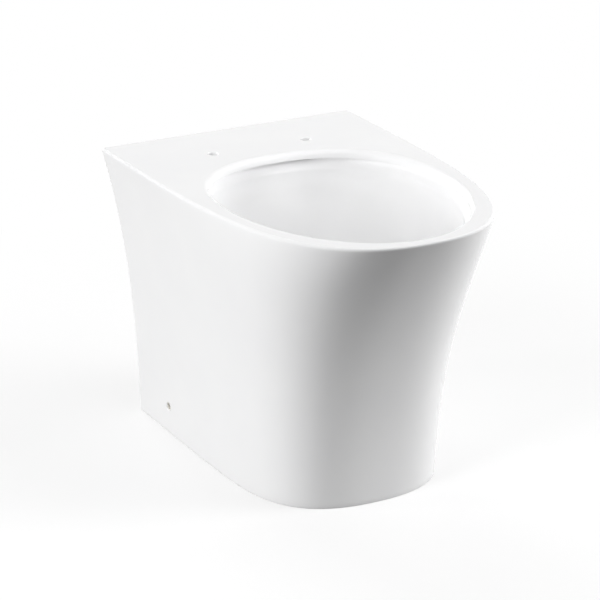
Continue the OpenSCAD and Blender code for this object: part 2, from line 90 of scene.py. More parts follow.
def make_glaze():
    """Glaze: near white, a little greyer in slow clouds, glossy, and bare under the foot."""
    material, tree, output = start_material("zircon_glaze_on_vitreous_china")
    place = add(tree, "ShaderNodeTexCoord").outputs["Object"]
    clouds = add(tree, "ShaderNodeTexNoise", Vector=place, Scale=1 / (2 * GLAZE_WAVE), Detail=2.0)
    tint = add(tree, "ShaderNodeMix", {"data_type": "RGBA"}, Factor=clouds.outputs["Fac"],
               i6=linear(GLAZE_WHITE), i7=linear(GLAZE_SHADE))
    height = add(tree, "ShaderNodeSeparateXYZ", Vector=place).outputs["Z"]
    bare = add(tree, "ShaderNodeMapRange", Value=height, From_Min=WIPED_FROM,
               From_Max=WIPED_BELOW)
    colour = add(tree, "ShaderNodeMix", {"data_type": "RGBA"}, Factor=bare.outputs["Result"],
                 i6=tint.outputs[2], i7=linear(BARE_BODY))
    gloss = add(tree, "ShaderNodeMapRange", Value=bare.outputs["Result"],
                To_Min=GLAZE_ROUGHNESS, To_Max=BARE_ROUGHNESS)
    waves = add(tree, "ShaderNodeTexNoise", Vector=place, Scale=1 / GLAZE_WAVE, Detail=1.0)
    peel = add(tree, "ShaderNodeTexNoise", Vector=place, Scale=1 / GLAZE_PEEL, Detail=1.0)
    slow = add(tree, "ShaderNodeBump", Height=waves.outputs["Fac"], Strength=0.05,
               Distance=0.0012)
    fine = add(tree, "ShaderNodeBump", Height=peel.outputs["Fac"], Strength=0.06,
               Distance=0.0001, Normal=slow.outputs["Normal"])
    shader = add(tree, "ShaderNodeBsdfPrincipled", Base_Color=colour.outputs[2],
                 Roughness=gloss.outputs["Result"], IOR=GLAZE_IOR, Normal=fine.outputs["Normal"])
    tree.links.new(shader.outputs["BSDF"], output.inputs["Surface"])
    return material


glaze = make_glaze()

PAN_H, PAN_W, PAN_D = 400.0, 388.0, 552.0
FOOT_W, FOOT_D = 288.0, 432.0
WALL_Y = PAN_D / 2
LEAN_W, CURL_W, LEAN_D, CURL_D = 0.257, 2.64, 0.2, 2.68  # of the flare to the sides and nose
BLUNT_FOOT, BLUNT_RIM, ROUND_FOOT, ROUND_RIM = 7.75, 4.39, 2.3, 2.46  # of the plan
TAPER_RIM, PLAN_TURN = 0.028, 8
EDGE_R, FOOT_EDGE_R, SKIRT_WALL = 5.0, 1.5, 11.0
RIM_Z = PAN_H - 30  # where the skirt and the bowl meet the rim
HOLE_Y, HOLE_Z, HOLE_R, HOLE_EDGE_R = WALL_Y - 95, 41.0, 6.0, 1.0
UP, DOWN, TO_WALL = (0, 0, 1), (0, 0, -1), (0, 1, 0)
FAR = 900.0  # far enough out to be on the outer side of every face


def edge_loss(gain, lean, curl):
    """How far the skin would stand out past its rounded edge if it ran on to the top."""
    slope = gain / PAN_H * (lean + (1 - lean) * curl)
    return EDGE_R * (1 + slope - np.sqrt(1 + slope * slope))


SHARP_W = PAN_W + 2 * edge_loss((PAN_W - FOOT_W) / 2, LEAN_W, CURL_W)
SHARP_D = PAN_D + edge_loss(PAN_D - FOOT_D, LEAN_D, CURL_D)


def skin_sizes(z, inset):
    """Half width, depth, bluntness, roundness and taper of the plan at height z.

    Width and depth grow from the foot by lean * u + (1 - lean) * u ** curl of their whole
    gain, with u = z / height. The plan turns from the toe's shape into the rim's late, by
    u ** 8, and is inset by a wall or a rounding.
    """
    u = np.clip(z / PAN_H, 0, 1)
    grow_w = LEAN_W * u + (1 - LEAN_W) * u ** CURL_W
    grow_d = LEAN_D * u + (1 - LEAN_D) * u ** CURL_D
    late = u ** PLAN_TURN
    return (
        (FOOT_W + (SHARP_W - FOOT_W) * grow_w) / 2 - inset,
        FOOT_D + (SHARP_D - FOOT_D) * grow_d - inset,
        1 / (1 / BLUNT_FOOT + (1 / BLUNT_RIM - 1 / BLUNT_FOOT) * late),
        1 / (1 / ROUND_FOOT + (1 / ROUND_RIM - 1 / ROUND_FOOT) * late),
        TAPER_RIM * late,
    )


def skin(z, q, inset=0.0):
    """Grid of points on the skin: rows at heights z, columns at q along the plan.

    q runs from -1 at the left end by the wall, through 0 at the nose, to 1 at the right end.
    With s = 1 - |q| ** n the share of the depth, the half width is
    w (1 - k s^2) (1 - s ** m) ** (1 / n).
    """
    z, inset = np.broadcast_arrays(np.asarray(z, float), inset)
    w, d, m, n, k = (v[:, None] for v in skin_sizes(z, inset))
    s = 1 - np.abs(q)[None] ** n
    x = np.sign(q) * w * (1 - k * s * s) * np.clip(1 - s ** m, 0, 1) ** (1 / n)
    return np.stack([x, WALL_Y - d * s, np.broadcast_to(z[:, None], x.shape)], axis=-1)


def side_x(y, z, inset=0.0):
    """Half width of the skin at a place (y, z) on its side, by the same formula."""
    w, d, m, n, k = skin_sizes(z, inset)
    s = (WALL_Y - y) / d
    return w * (1 - k * s * s) * (1 - s ** m) ** (1 / n)


def sheet(points, wrap=False, skip=None, away=None, toward=None, rows=None, ends=None):
    """One smooth sheet from a grid of points: corners, quads and the normals of its corners.

    A normal is the cross product of the slopes along the columns and the rows, both taken by
    central differences over the true distance between them. It is turned away from a point
    inside the piece, or toward one outside. Only the given rows are kept, once the normals
    are known, so that pieces that share a sheet also share its shading. ends gives the
    normals of rows where they are known, and skip says which cells are left open.
    """
    def travel(grid):
        step = np.linalg.norm(np.diff(grid, axis=0), axis=-1).mean(axis=1)
        return np.concatenate([[0], np.cumsum(np.maximum(step, 1e-6))])

    down = np.gradient(points, travel(points), axis=0)
    if wrap:
        padded = np.concatenate([points[:, -1:], points, points[:, :1]], axis=1)
        along = padded[:, 2:] - padded[:, :-2]
    else:
        along = np.gradient(points, axis=1)
    normals = np.cross(along, down)
    normals /= np.maximum(np.linalg.norm(normals, axis=-1, keepdims=True), 1e-12)
    reach = points - np.asarray(away if toward is None else toward, float)
    sign = np.sign((normals * reach).sum(-1).mean()) * (1 if toward is None else -1)
    normals *= sign
    for row, normal in (ends or {}).items():
        normals[row] = normal
    keep = slice(None) if rows is None else rows
    points, normals = points[keep], normals[keep]
    n_rows, n_cols = points.shape[:2]
    index = np.arange(n_rows * n_cols).reshape(n_rows, n_cols)
    if wrap:
        index = np.concatenate([index, index[:, :1]], axis=1)
    quads = np.stack([index[:-1, :-1], index[:-1, 1:], index[1:, 1:], index[1:, :-1]], axis=-1)
    if skip is not None:
        quads = quads[~skip]
    quads = quads.reshape(-1, 4)
    return points.reshape(-1, 3), quads if sign > 0 else quads[:, ::-1], normals.reshape(-1, 3)


def band(first, second, normal, wrap=False):
    """The flat sheet between two rows of points, which all have one normal."""
    return sheet(np.stack([first, second]), wrap=wrap, toward=FAR * np.array(normal),
                 ends={0: normal, 1: normal})


def flat(loops, place, normal):
    """A flat face inside the first loop and outside the others, filled with triangles.

    Loops are closed rows of points in the plane, and place puts such points in space. A
    triangle is kept where a ray from its middle crosses the loops an odd number of times.
    """
    corners = np.concatenate(loops)
    starts = np.cumsum([0] + [len(loop) for loop in loops])
    edges = np.concatenate([
        np.stack([np.arange(a, b), np.roll(np.arange(a, b), -1)], axis=1)
        for a, b in zip(starts, starts[1:])
    ])
    _, _, faces, source, _, _ = delaunay_2d_cdt(
        [Vector(p) for p in corners.tolist()], edges.tolist(), [], 0, 1e-4)
    tris = np.array([source[i][0] for face in faces for i in face]).reshape(-1, 3)
    middle = corners[tris].mean(axis=1)
    a, b = corners[edges[:, 0]], corners[edges[:, 1]]
    spans = (a[:, 1] > middle[:, 1:]) != (b[:, 1] > middle[:, 1:])
    with np.errstate(divide="ignore", invalid="ignore"):
        at = a[:, 0] + (middle[:, 1:] - a[:, 1]) * (b[:, 0] - a[:, 0]) / (b[:, 1] - a[:, 1])
    tris = tris[(spans & (at > middle[:, :1])).sum(axis=1) % 2 == 1]
    points = place(corners)
    first, second, third = (points[tris[:, i]] for i in range(3))
    facing = np.cross(second - first, third - first) @ np.asarray(normal, float)
    tris = np.where(facing[:, None] > 0, tris, tris[:, ::-1])
    return points, tris, np.broadcast_to(np.asarray(normal, float), points.shape)


def on_wall(points):
    """Places points (x, z) in the plane of the wall."""
    return np.insert(points, 1, WALL_Y, axis=1)


def make_piece(name, sheets, material, node):
    """One closed piece from sheets in millimetres, welded where their corners meet.

    The normals stay with the corners of each sheet, so an edge between two sheets is as
    sharp or as smooth as their own normals say.
    """
    points = np.concatenate([s[0] for s in sheets]) / 1000
    normals = np.concatenate([s[2] for s in sheets])
    starts = np.cumsum([0] + [len(s[0]) for s in sheets])
    faces = [s[1] + start for s, start in zip(sheets, starts)]
    _, first, weld = np.unique(np.round(points * 1e6).astype(np.int64), axis=0,
                               return_index=True, return_inverse=True)
    weld = weld.reshape(-1)
    mesh = bpy.data.meshes.new(name)
    mesh.from_pydata(points[first].tolist(), [], [f for s in faces for f in weld[s].tolist()])
    mesh.polygons.foreach_set("use_smooth", np.ones(len(mesh.polygons), bool))
    mesh.normals_split_custom_set(
        normals[np.concatenate([s.reshape(-1) for s in faces])].tolist())
    mesh.materials.append(material)
    obj = bpy.data.objects.new(name, mesh)
    bpy.context.scene.collection.objects.link(obj)
    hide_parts(node)
    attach(obj, "root")


NEAR = 1e-6  # slack where rows or columns that ought to be equal are compared


def between(values, low, high):
    """Which values lie from low to high."""
    return (values >= low - NEAR) & (values <= high + NEAR)


# Columns of the skin, counted from the nose to the wall. Extra ones frame the side holes, and
# plain ones that would come too near them are left out. The rows are made in the same way:
# they curl over the edge of the foot, run up the skirt and the rim, and curl over the deck's.
HALF_COLUMNS, SKIRT_ROWS, RIM_ROWS, FOOT_CURL_ROWS, DECK_CURL_ROWS = 121, 64, 7, 7, 13
HOLE_FRAME, HOLE_STEP = 12.0, 2.0  # half side and step of the finer grid round a side hole
COLLAR_ROWS, HOLE_CURL_ROWS = 7, 5  # from that grid to the hole, and over the hole's edge
CLEAR_Q, CLEAR_Z = 0.004, 1.0  # least distance of a plain column or row from a fixed one

hole_lines = np.arange(-HOLE_FRAME, HOLE_FRAME + HOLE_STEP / 2, HOLE_STEP)
_, hole_d, _, hole_n, _ = skin_sizes(np.array(HOLE_Z), 0.0)
hole_q = ((hole_d - (WALL_Y - HOLE_Y - hole_lines)) / hole_d) ** (1 / hole_n)
plain_q = np.linspace(0, 1, HALF_COLUMNS)
plain_q = plain_q[~between(plain_q, hole_q[0] - CLEAR_Q, hole_q[-1] + CLEAR_Q)]
half_q = np.sort(np.concatenate([plain_q, hole_q]))
q = np.concatenate([-half_q[:0:-1], half_q])

foot_curl = np.radians(np.linspace(0, 90, FOOT_CURL_ROWS))[:-1]
deck_curl = np.radians(np.linspace(0, 90, DECK_CURL_ROWS))[1:]
hole_z = HOLE_Z + hole_lines
plain_z = np.linspace(FOOT_EDGE_R, RIM_Z, SKIRT_ROWS)
plain_z = plain_z[~between(plain_z, hole_z[0] - CLEAR_Z, hole_z[-1] + CLEAR_Z)]
up_z = np.sort(np.concatenate([plain_z, hole_z]))
rim_up_z = np.linspace(RIM_Z, PAN_H - EDGE_R, RIM_ROWS)[1:]
skin_z = np.concatenate([FOOT_EDGE_R * (1 - np.cos(foot_curl)), up_z, rim_up_z,
                         PAN_H - EDGE_R + EDGE_R * np.sin(deck_curl)])
skin_inset = np.concatenate([FOOT_EDGE_R * (1 - np.sin(foot_curl)),
                             np.zeros(len(up_z) + len(rim_up_z)),
                             EDGE_R * (1 - np.cos(deck_curl))])
skin_grid = skin(skin_z, q, skin_inset)
joint_row = len(foot_curl) + len(up_z) - 1
inner_z = np.concatenate([[0.0], skin_z[len(foot_curl):joint_row + 1]])
inner_grid = skin(inner_z, q, SKIRT_WALL)
MIDDLE = (0.0, 0.0, PAN_H / 2)
skin_ends = {0: DOWN, -1: UP}


def hole_cells(z_rows):
    """Which cells of a skin grid lie in the square frames round the two side holes."""
    in_z = between(z_rows, hole_z[0], hole_z[-1])
    in_q = between(np.abs(q), hole_q[0], hole_q[-1])
    return (in_z[:-1] & in_z[1:])[:, None] & (in_q[:-1] & in_q[1:])[None]


def hole_collar(grid, z_rows, side, radius, inset):
    """Rings from the square frame in a skin grid, on the skin, to a circle round the hole."""
    rows = np.where(between(z_rows, hole_z[0], hole_z[-1]))[0]
    cols = np.where(between(q * side, hole_q[0], hole_q[-1]))[0]
    block = grid[rows[0]:rows[-1] + 1, cols[0]:cols[-1] + 1]
    border = np.concatenate([block[0, :-1], block[:-1, -1], block[-1, :0:-1], block[:0:-1, 0]])
    out = border[:, 1:] - (HOLE_Y, HOLE_Z)
    circle = (HOLE_Y, HOLE_Z) + radius * out / np.linalg.norm(out, axis=1, keepdims=True)
    share = np.linspace(0, 1, COLLAR_ROWS)[:, None, None]
    place = border[None, :, 1:] * (1 - share) + circle * share
    x = side * side_x(place[..., 0], place[..., 1], inset)
    collar = np.concatenate([x[..., None], place], axis=-1)
    collar[0] = border
    return collar


in_bore_x = side_x(HOLE_Y, HOLE_Z) - SKIRT_WALL / 2
skirt_z = skin_z[:joint_row + 1]
skirt_sheets = [
    sheet(skin_grid, away=MIDDLE, ends=skin_ends, rows=slice(0, joint_row + 1),
          skip=hole_cells(skirt_z)),
    sheet(inner_grid, toward=MIDDLE, skip=hole_cells(inner_z)),
    band(skin_grid[0], inner_grid[0], DOWN),
    band(skin_grid[joint_row], inner_grid[-1], UP),
]
for side, end in ((-1, 0), (1, -1)):
    outline = np.concatenate([skin_grid[:joint_row + 1, end], inner_grid[::-1, end]])[:, ::2]
    skirt_sheets.append(flat([outline], on_wall, TO_WALL))
    outer = hole_collar(skin_grid[:joint_row + 1], skirt_z, side, HOLE_R + HOLE_EDGE_R, 0.0)
    inner = hole_collar(inner_grid, inner_z, side, HOLE_R, SKIRT_WALL)
    skirt_sheets.append(sheet(outer, wrap=True, away=(0, HOLE_Y, HOLE_Z)))
    skirt_sheets.append(sheet(inner, wrap=True, toward=(0, HOLE_Y, HOLE_Z)))
    spoke = (outer[-1][:, 1:] - (HOLE_Y, HOLE_Z)) / (HOLE_R + HOLE_EDGE_R)
    curl = np.radians(np.linspace(0, 90, HOLE_CURL_ROWS))[:, None]
    curl_r = HOLE_R + HOLE_EDGE_R * (1 - np.sin(curl))
    edge = np.stack([
        outer[-1][:, 0] - side * HOLE_EDGE_R * (1 - np.cos(curl)),
        HOLE_Y + spoke[:, 0] * curl_r,
        HOLE_Z + spoke[:, 1] * curl_r,
    ], axis=-1)
    bore = np.concatenate([edge, inner[-1][None]])
    skirt_sheets.append(sheet(bore, wrap=True, toward=(side * in_bore_x, HOLE_Y, HOLE_Z),
                              ends={0: (side, 0, 0)}))

make_piece("skirt_glazed", skirt_sheets, glaze, "skirt")

# ---------------------------------------------------------------------------------------
# Rim: pressed in a mould of its own and stuck on with slip, under the same glaze. It has the
# flat deck with the seat holes, the rounded lip of the opening, the slot that the flush comes
# through, and a hollow under the deck behind the bowl.

RIM_FLAT, RIM_SIDE, RIM_REAR = 20.5, 36.0, 142.0  # width at the nose, the sides and the rear
OPENING_FRONT, OPENING_BACK = WALL_Y - PAN_D + RIM_FLAT, WALL_Y - RIM_REAR
OPENING_HALF, MID_Y, SQUARE_BACK = PAN_W / 2 - RIM_SIDE, WALL_Y - 310, 2.3
DECK_UNDER_Z = PAN_H - 10
LIP_R, LIP_UNDER_Z, LIP_RISE, LIP_NOSE_Z = 7.0, DECK_UNDER_Z - 2, 1.0, 387.0
SIDE_UNDERCUT, REAR_UNDERCUT = 0.8, 10.0  # how far the wall is set back under the lip
LIP_EDGE_R, LIP_CREASE_R = 1.0, 1.0  # most that its lower edge and its crease are rounded
ROOM = 0.45  # most of the undercut that either rounding takes
LIP_ROWS, EDGE_ROWS, UNDER_ROWS, WALL_ROWS, JOINT_ROWS = 14, 7, 4, 5, 14  # in each stretch
NOSE_WALL = 23.0  # both walls at the nose, and the gap of 3 mm between them
JOINT_FRONT = WALL_Y - skin_sizes(np.array(RIM_Z), 0.0)[1] + NOSE_WALL
JOINT_SIDE, JOINT_REAR = OPENING_HALF - 2, OPENING_BACK + REAR_UNDERCUT / 2
FRONT_PULL, SIDE_PULL, REAR_PULL = (28, -52), (0, -66), (2, -58)  # at the joint
SLOT_HALF, SLOT_LOW, SLOT_TOP = 55.0, 384.6, 387.8
LIP_WALL, POCKET_FRONT, POCKET_MID_Z = 12.0, 51.0, 378.0
SEAT_X, SEAT_Y, SEAT_R, SEAT_EDGE_R, SEAT_MID_Z = 72.0, WALL_Y - 96, 6.5, 1.5, 394.0
SEAT_CURL_ROWS, SEAT_STEP = 6, 7.5
RING_STEP, CLEAR_ANGLE = 1.5, 0.4  # degrees from column to column, and least from a fixed one


def level(z):
    """Places points (x, y) at a height."""
    return lambda p: np.column_stack([p, np.full(len(p), z)])


def ring_angle(share, rising):
    """Angle on the rear half at which a ring is out to the side, or back, by this share."""
    s = np.degrees(np.arcsin(share ** (SQUARE_BACK / 2)))
    return 180 - s if rising else 90 + s


slot_angle = ring_angle(SLOT_HALF / (OPENING_HALF + SIDE_UNDERCUT), True)
pocket_angle = ring_angle((POCKET_FRONT - MID_Y) / (JOINT_REAR + LIP_WALL - MID_Y), False)
fixed = np.array([slot_angle, pocket_angle, 360 - slot_angle, 360 - pocket_angle])
angles = np.arange(0, 360, RING_STEP)
angles = angles[np.abs(angles[:, None] - fixed).min(axis=1) > CLEAR_ANGLE]
angles = np.sort(np.concatenate([angles, fixed]))


def rings(front, side, rear, mid, square, at=None):
    """Rows of rings through a front point [y, z], a side point [x, z] and a rear point [y, z].

    At angle a from the nose a ring is sin(a) ** p of its half width to the side, and
    cos(a) ** p of its reach to the front or rear of mid. p is 1 in front and 2 / square
    behind. Its height goes from the side point's to the end point's by cos(a) ** 2.
    """
    a = np.radians(angles if at is None else at)
    c, s = np.cos(a)[None], np.sin(a)[None]
    front, side, rear = (np.atleast_2d(np.asarray(v, float)) for v in (front, side, rear))
    mid, square = (np.broadcast_to(v, len(front))[:, None] for v in (mid, square))
    power = np.where(c > 0, 1.0, 2 / square)
    reach = np.where(c > 0, front[:, :1], rear[:, :1])
    rise = np.where(c > 0, front[:, 1:], rear[:, 1:])
    return np.stack([
        np.sign(s) * side[:, :1] * np.abs(s) ** power,
        mid + (reach - mid) * np.abs(c) ** power,
        side[:, 1:] + (rise - side[:, 1:]) * c * c,
    ], axis=-1)


def flat_rings(front, side, rear, z, at=None):
    """Level rings round the opening, one for each height."""
    front, side, rear, z = np.broadcast_arrays(front, side, rear, z)
    return rings(np.column_stack([front, z]), np.column_stack([side, z]),
                 np.column_stack([rear, z]), MID_Y, SQUARE_BACK, at)


def lip_profile(undercut):
    """Rows [out, z] down the lip: its rounding, face, lower edge, underside and crease.

    The lower edge and the crease are quarter circles, as far as the undercut leaves room. The
    underside rises between them. Where there is no undercut the rows run straight down.
    """
    over = np.radians(np.linspace(90, 0, LIP_ROWS))
    turn = np.radians(np.linspace(0, 90, EDGE_ROWS))
    edge_r, crease_r = min(LIP_EDGE_R, ROOM * undercut), min(LIP_CREASE_R, ROOM * undercut)
    rise = LIP_RISE * undercut / REAR_UNDERCUT
    under = np.linspace(0, 1, UNDER_ROWS + 2)[1:-1]
    out = np.concatenate([
        LIP_R * (1 - np.cos(over)), edge_r * (1 - np.cos(turn)),
        edge_r + (undercut - edge_r - crease_r) * under,
        undercut - crease_r * (1 - np.sin(turn))])
    z = np.concatenate([
        PAN_H - LIP_R + LIP_R * np.sin(over), LIP_UNDER_Z + edge_r * (1 - np.sin(turn)),
        LIP_UNDER_Z + rise * under, LIP_UNDER_Z + rise - crease_r * (1 - np.cos(turn))])
    if not undercut:
        z[LIP_ROWS:] = np.linspace(LIP_UNDER_Z + LIP_EDGE_R, LIP_NOSE_Z, len(z) - LIP_ROWS)
    return np.column_stack([out, z])


def fall(u, start, end, slope):
    """Reach below the lip: start + (end - start) (3 u^2 - 2 u^3) + slope (u^3 - u^2)."""
    return start + (end - start) * u * u * (3 - 2 * u) + slope * (u ** 3 - u ** 2)


def below_lip(lip, joint, pull, straight):
    """Rows [reach, z] down the lip and on to the joint, where the curve meets the bowl's.

    A straight one first drops upright to the foot of the slot.
    """
    reach, top = lip[-1]
    down_to = SLOT_LOW if straight else top
    u = np.linspace(0, 1, JOINT_ROWS + 1 + (0 if straight else WALL_ROWS))
    slope = -pull[0] / pull[1] * (down_to - RIM_Z)
    rows = np.column_stack([fall(u, reach, joint, slope), down_to + (RIM_Z - down_to) * u])
    if straight:
        wall = np.column_stack([np.full(WALL_ROWS + 1, reach),
                                np.linspace(top, SLOT_LOW, WALL_ROWS + 1)])
        rows = np.concatenate([wall, rows[1:]])
    return np.concatenate([lip, rows[1:]])


front_lip, side_lip, rear_lip = (lip_profile(u) for u in (0.0, SIDE_UNDERCUT, REAR_UNDERCUT))
front_rows = below_lip(np.array([OPENING_FRONT, 0]) + front_lip * (-1, 1), JOINT_FRONT,
                       FRONT_PULL, False)
side_rows = below_lip(np.array([OPENING_HALF, 0]) + side_lip, JOINT_SIDE, SIDE_PULL, True)
rear_rows = below_lip(np.array([OPENING_BACK, 0]) + rear_lip, JOINT_REAR, REAR_PULL, True)
lip_grid = rings(front_rows, side_rows, rear_rows, MID_Y, SQUARE_BACK)

# The bowl's profiles from the joint down to the throat, and its bend into the trapway. They
# come with the rim, because its shading runs on into them.
BOWL_WALL, THROAT_R, THROAT_Y, THROAT_Z = 9.0, 36.0, WALL_Y - 308, 196.0
TRAP_R, TRAP_WALL, TRAP_GAP, BEND_R = 29.0, 8.0, 6.0, 47.0
BEND_Y, TRAP_Y = THROAT_Y + BEND_R, THROAT_Y + THROAT_R + BOWL_WALL + TRAP_GAP
FRONT_RISE, SIDE_RISE, REAR_RISE = (-10, 30), (12, 40), (4, 136)  # at the throat
BOWL_ROWS, BEND_ROWS = 73, 31


def profile(top, pull, end, rise):
    """The four points of a cubic curve: its ends, and a handle from each."""
    top, end = np.array(top, float), np.array(end, float)
    return np.array([top, top + pull, end + rise, end])


front_curve = profile((JOINT_FRONT, RIM_Z), FRONT_PULL, (THROAT_Y - THROAT_R, THROAT_Z),
                      FRONT_RISE)
side_curve = profile((JOINT_SIDE, RIM_Z), SIDE_PULL, (THROAT_R, THROAT_Z), SIDE_RISE)
rear_curve = profile((JOINT_REAR, RIM_Z), REAR_PULL, (THROAT_Y + THROAT_R, THROAT_Z), REAR_RISE)


def along(curve, t, wall=0.0, turned=1):
    """Points of a cubic curve at t, moved square to it by a wall.

    The point is (1-t)^3 A + 3 (1-t)^2 t B + 3 (1-t) t^2 C + t^3 D.
    """
    t = np.asarray(t, float)[:, None]
    s = 1 - t
    a, b, c, d = curve
    point = s ** 3 * a + 3 * s * s * t * b + 3 * s * t * t * c + t ** 3 * d
    slope = s * s * (b - a) + 2 * s * t * (c - b) + t * t * (d - c)
    slope /= np.linalg.norm(slope, axis=1, keepdims=True)
    return point + wall * turned * np.column_stack([-slope[:, 1], slope[:, 0]])


def bowl_rings(t, wall=0.0):
    """Rings down the bowl, 0 at the joint and 1 at the throat, with a wall added outside."""
    return rings(along(front_curve, t, wall, -1), along(side_curve, t, wall),
                 along(rear_curve, t, wall), MID_Y + (THROAT_Y - MID_Y) * t,
                 SQUARE_BACK + (2 - SQUARE_BACK) * t)


def bend_rings(turn, start_r, end_r, run=0.0):
    """Circles round the bend from the throat, level, into the trapway, upright.

    At b round the circle and a round the bend, the point is r sin b to the side and
    R + r cos b from the axis of the bend, and the radius goes evenly from start to end.
    """
    a, b = np.radians(turn)[:, None], np.radians(angles)[None]
    r = start_r + (end_r - start_r) * a / (np.pi / 2)
    reach = BEND_R + r * np.cos(b)
    return np.stack([r * np.sin(b) + 0 * a, BEND_Y - reach * np.cos(a) + run,
                     THROAT_Z - reach * np.sin(a)], axis=-1)


bends = np.linspace(0, 90, BEND_ROWS)
hollow_grid = np.concatenate([
    lip_grid, bowl_rings(np.linspace(0, 1, BOWL_ROWS)[1:]),
    bend_rings(bends[1:], THROAT_R, TRAP_R), bend_rings([90], THROAT_R, TRAP_R, TRAP_Y - BEND_Y)])
joint_ring_row = len(lip_grid) - 1

# The slot is a window in the wall behind the lip, and a like one in the wall of the hollow
# under the deck. The hollow's wall follows the opening on an arc, then runs across to the
# skirt and back along it.
slot_row = len(rear_lip) - 1
in_slot = between(angles, slot_angle, 360 - slot_angle)
slot_window = np.zeros((len(lip_grid) - 1, len(angles)), bool)
slot_window[slot_row:slot_row + WALL_ROWS] = in_slot & np.roll(in_slot, -1)

pocket_z = np.concatenate([[DECK_UNDER_Z], np.linspace(SLOT_TOP, SLOT_LOW, WALL_ROWS + 1),
                           [POCKET_MID_Z, RIM_Z]])
arc = angles[between(angles, pocket_angle, 360 - pocket_angle)]
arc_in_slot = between(arc, slot_angle, 360 - slot_angle)
arc_window = np.zeros((len(pocket_z) - 1, len(arc) - 1), bool)
arc_window[1:WALL_ROWS + 1] = arc_in_slot[:-1] & arc_in_slot[1:]
arc_xy = flat_rings(JOINT_FRONT, JOINT_SIDE + LIP_WALL, JOINT_REAR + LIP_WALL, RIM_Z,
                    arc)[0, :, :2]
_, joint_d, _, joint_n, _ = skin_sizes(np.array(RIM_Z), SKIRT_WALL)
pocket_q = (1 - (WALL_Y - POCKET_FRONT) / joint_d) ** (1 / joint_n)
pocket_q = np.concatenate([[pocket_q], half_q[half_q > pocket_q + CLEAR_Q]])
right_xy = skin(np.array([RIM_Z]), pocket_q, SKIRT_WALL)[0, :, :2]
left_xy = right_xy * (-1, 1)


def upright(xy, z):
    """Grid of an upright wall over a row of points: rows at heights z."""
    return np.stack([level(h)(xy) for h in z])


circle = np.radians(np.arange(0, 360, SEAT_STEP))
round_xy = np.column_stack([np.cos(circle), np.sin(circle)])
seat_places = [(side * SEAT_X, SEAT_Y) for side in (-1, 1)]
seats = [round_xy * (SEAT_R + SEAT_EDGE_R) + place for place in seat_places]
seats_under = [round_xy * SEAT_R + place for place in seat_places]
pocket_loop = np.concatenate([right_xy, left_xy[::-1], arc_xy[::-1]])
under_loop = np.concatenate([skin_grid[joint_row, :, :2], right_xy[::-1], arc_xy, left_xy])
back_loop = np.concatenate([
    skin_grid[joint_row:, 0, ::2], skin_grid[joint_row:, -1, ::2][::-1],
    np.column_stack([np.full(len(pocket_z), right_xy[-1, 0]), pocket_z[::-1]]),
    np.column_stack([np.full(len(pocket_z), left_xy[-1, 0]), pocket_z])])

# Points in the open, which the walls round them face.
IN_BOWL, IN_POCKET, IN_SLOT = (0, MID_Y, 330), (0, 160, 380), (0, 147.5, 385.5)
POCKET_SIDE_X, POCKET_SIDE_Y, POCKET_SIDE_Z = 165, 200, 380

rim_sheets = [
    sheet(skin_grid, away=MIDDLE, ends=skin_ends, rows=slice(joint_row, None)),
    sheet(hollow_grid, wrap=True, toward=IN_BOWL, ends={0: UP},
          rows=slice(0, joint_ring_row + 1), skip=slot_window),
    flat([skin_grid[-1, :, :2], lip_grid[0, :, :2], *seats], level(PAN_H), UP),
    flat([under_loop, lip_grid[-1, :, :2]], level(RIM_Z), DOWN),
    flat([pocket_loop, *seats_under], level(DECK_UNDER_Z), DOWN),
    flat([back_loop], on_wall, TO_WALL),
    sheet(upright(arc_xy, pocket_z), away=(0, MID_Y, POCKET_SIDE_Z), skip=arc_window),
    sheet(upright(right_xy, pocket_z), toward=IN_POCKET),
    sheet(upright(left_xy, pocket_z), toward=IN_POCKET),
]
for side, corners in ((1, [arc_xy[0], right_xy[0]]), (-1, [arc_xy[-1], left_xy[0]])):
    rim_sheets.append(sheet(upright(np.array(corners), pocket_z),
                            toward=(side * POCKET_SIDE_X, POCKET_SIDE_Y, POCKET_SIDE_Z)))
slot_in = lip_grid[slot_row:slot_row + WALL_ROWS + 1, in_slot]
slot_out = upright(arc_xy[arc_in_slot], pocket_z[1:WALL_ROWS + 2])
for part in ((0, slice(None)), (-1, slice(None)), (slice(None), 0), (slice(None), -1)):
    rim_sheets.append(sheet(np.stack([slot_in[part], slot_out[part]]), toward=IN_SLOT))
seat_curl = np.radians(np.linspace(0, 90, SEAT_CURL_ROWS))
seat_r = np.concatenate([SEAT_R + SEAT_EDGE_R * (1 - np.sin(seat_curl)), [SEAT_R, SEAT_R]])
seat_h = np.concatenate([PAN_H - SEAT_EDGE_R * (1 - np.cos(seat_curl)),
                         [SEAT_MID_Z, DECK_UNDER_Z]])
for place in seat_places:
    wall = np.stack([level(h)(round_xy * r + place) for r, h in zip(seat_r, seat_h)])
    rim_sheets.append(sheet(wall, wrap=True, toward=(*place, SEAT_MID_Z), ends={0: UP}))

make_piece("rim_glazed", rim_sheets, glaze, "rim")

# ---------------------------------------------------------------------------------------
# Bowl: slip cast 9 mm thick and stuck under the rim. It narrows from the opening to a round
# throat, which bends level into the trapway behind it. The glaze runs down all of it.

